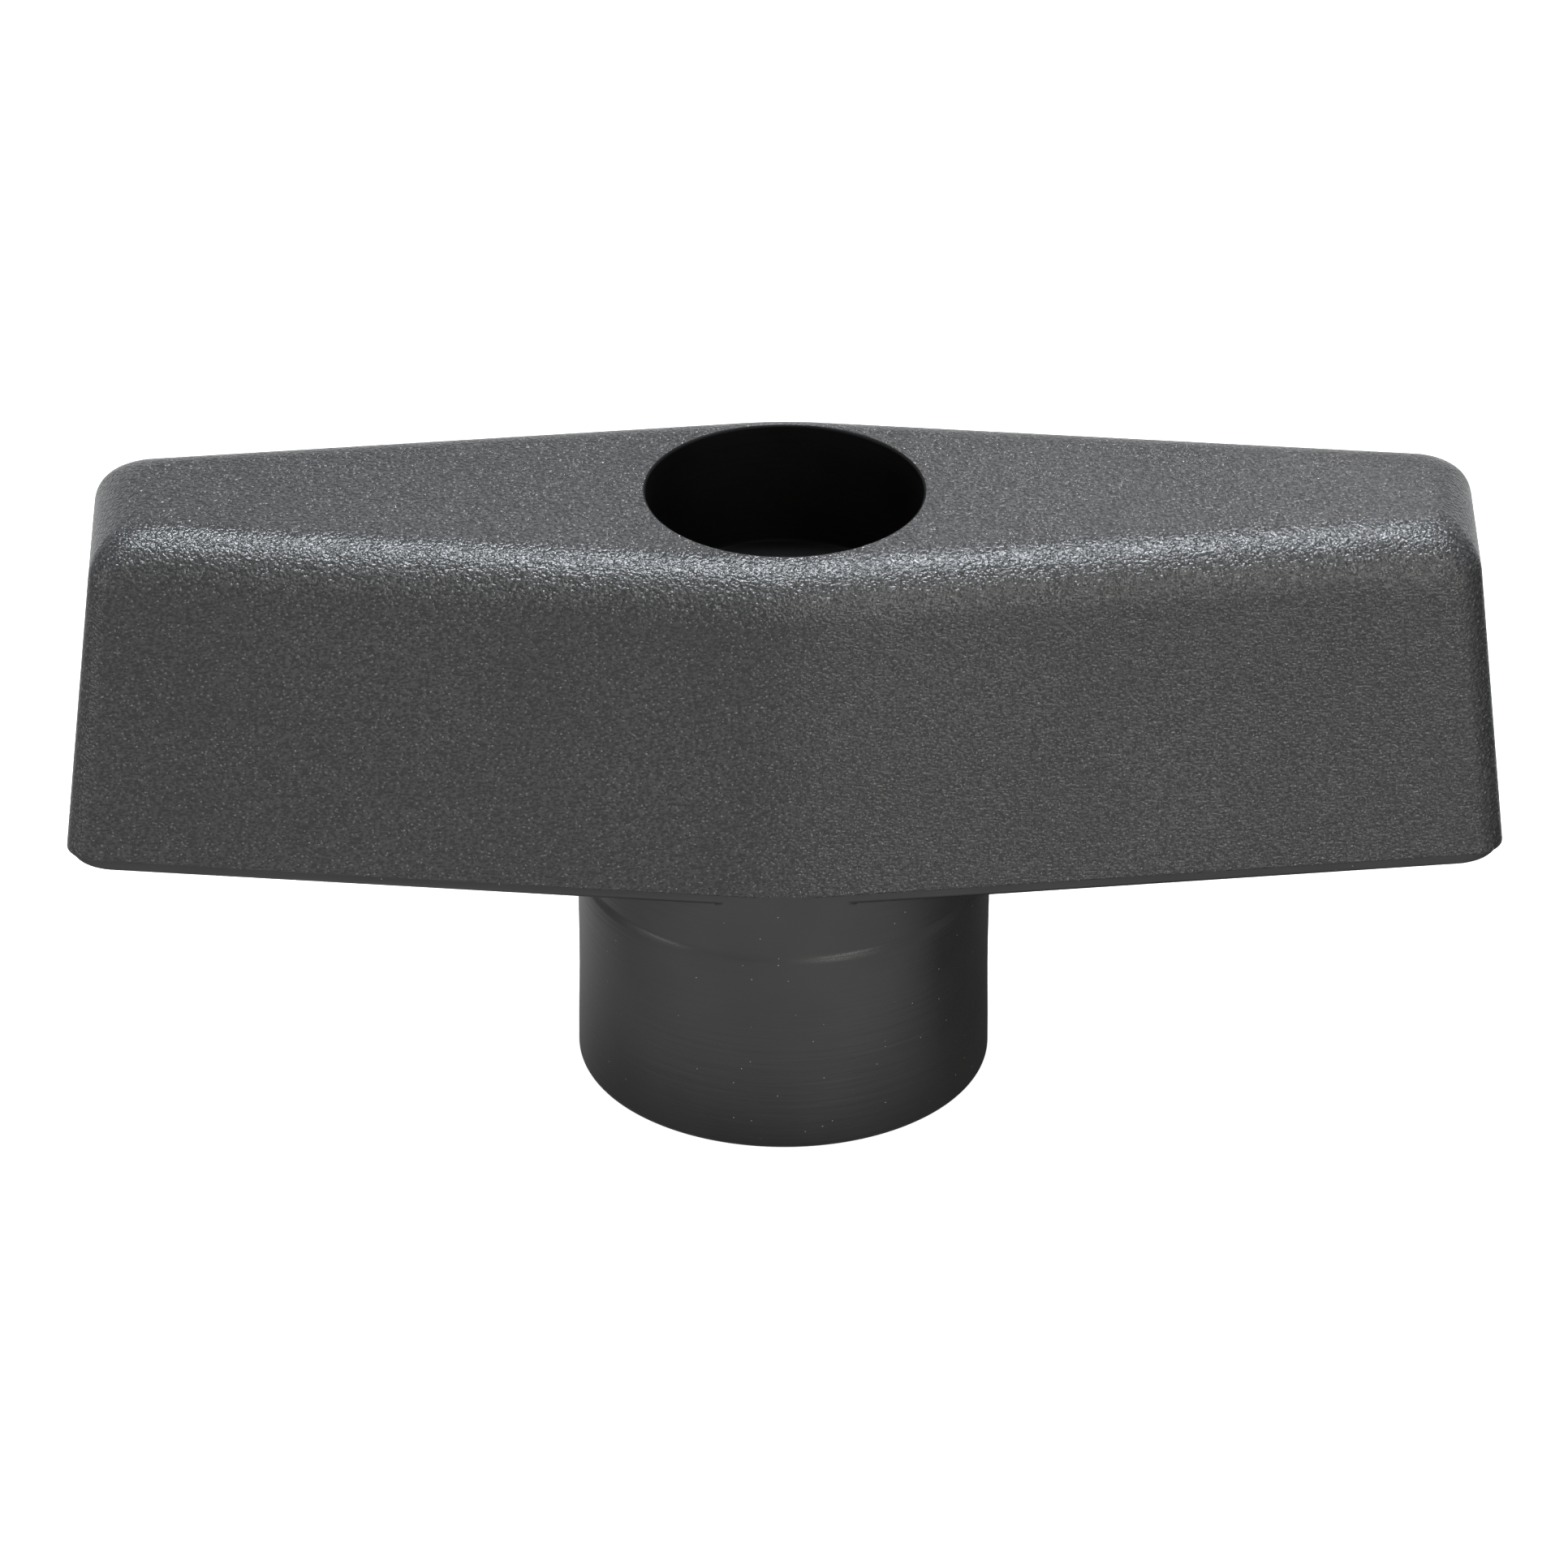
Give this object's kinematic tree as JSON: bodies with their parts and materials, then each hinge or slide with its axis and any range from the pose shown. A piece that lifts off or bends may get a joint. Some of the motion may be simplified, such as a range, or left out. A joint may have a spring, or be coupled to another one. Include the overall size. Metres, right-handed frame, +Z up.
{
  "type": "wing nut",
  "caption": "T-shaped wing nut: a moulded charcoal plastic body with tapered wings, a hollow underside and a round hub, and a knurled brass bush with an M10 through thread.",
  "frame": {"origin": "centre of the bush's lower face, where the thread axis meets the seat", "axes": "+Z up along the thread axis, from the seat to the top face; +X along the wings"},
  "size_m": [0.08, 0.0232, 0.036],
  "materials": {
    "moulded_plastic": "fine spark-eroded mould grain on the wings, smooth on the hub",
    "bush_brass": "turned, satin"
  },
  "bodies": {
    "root": {"wing_body": "moulded_plastic", "threaded_bush": "bush_brass"}
  },
  "joints": []
}
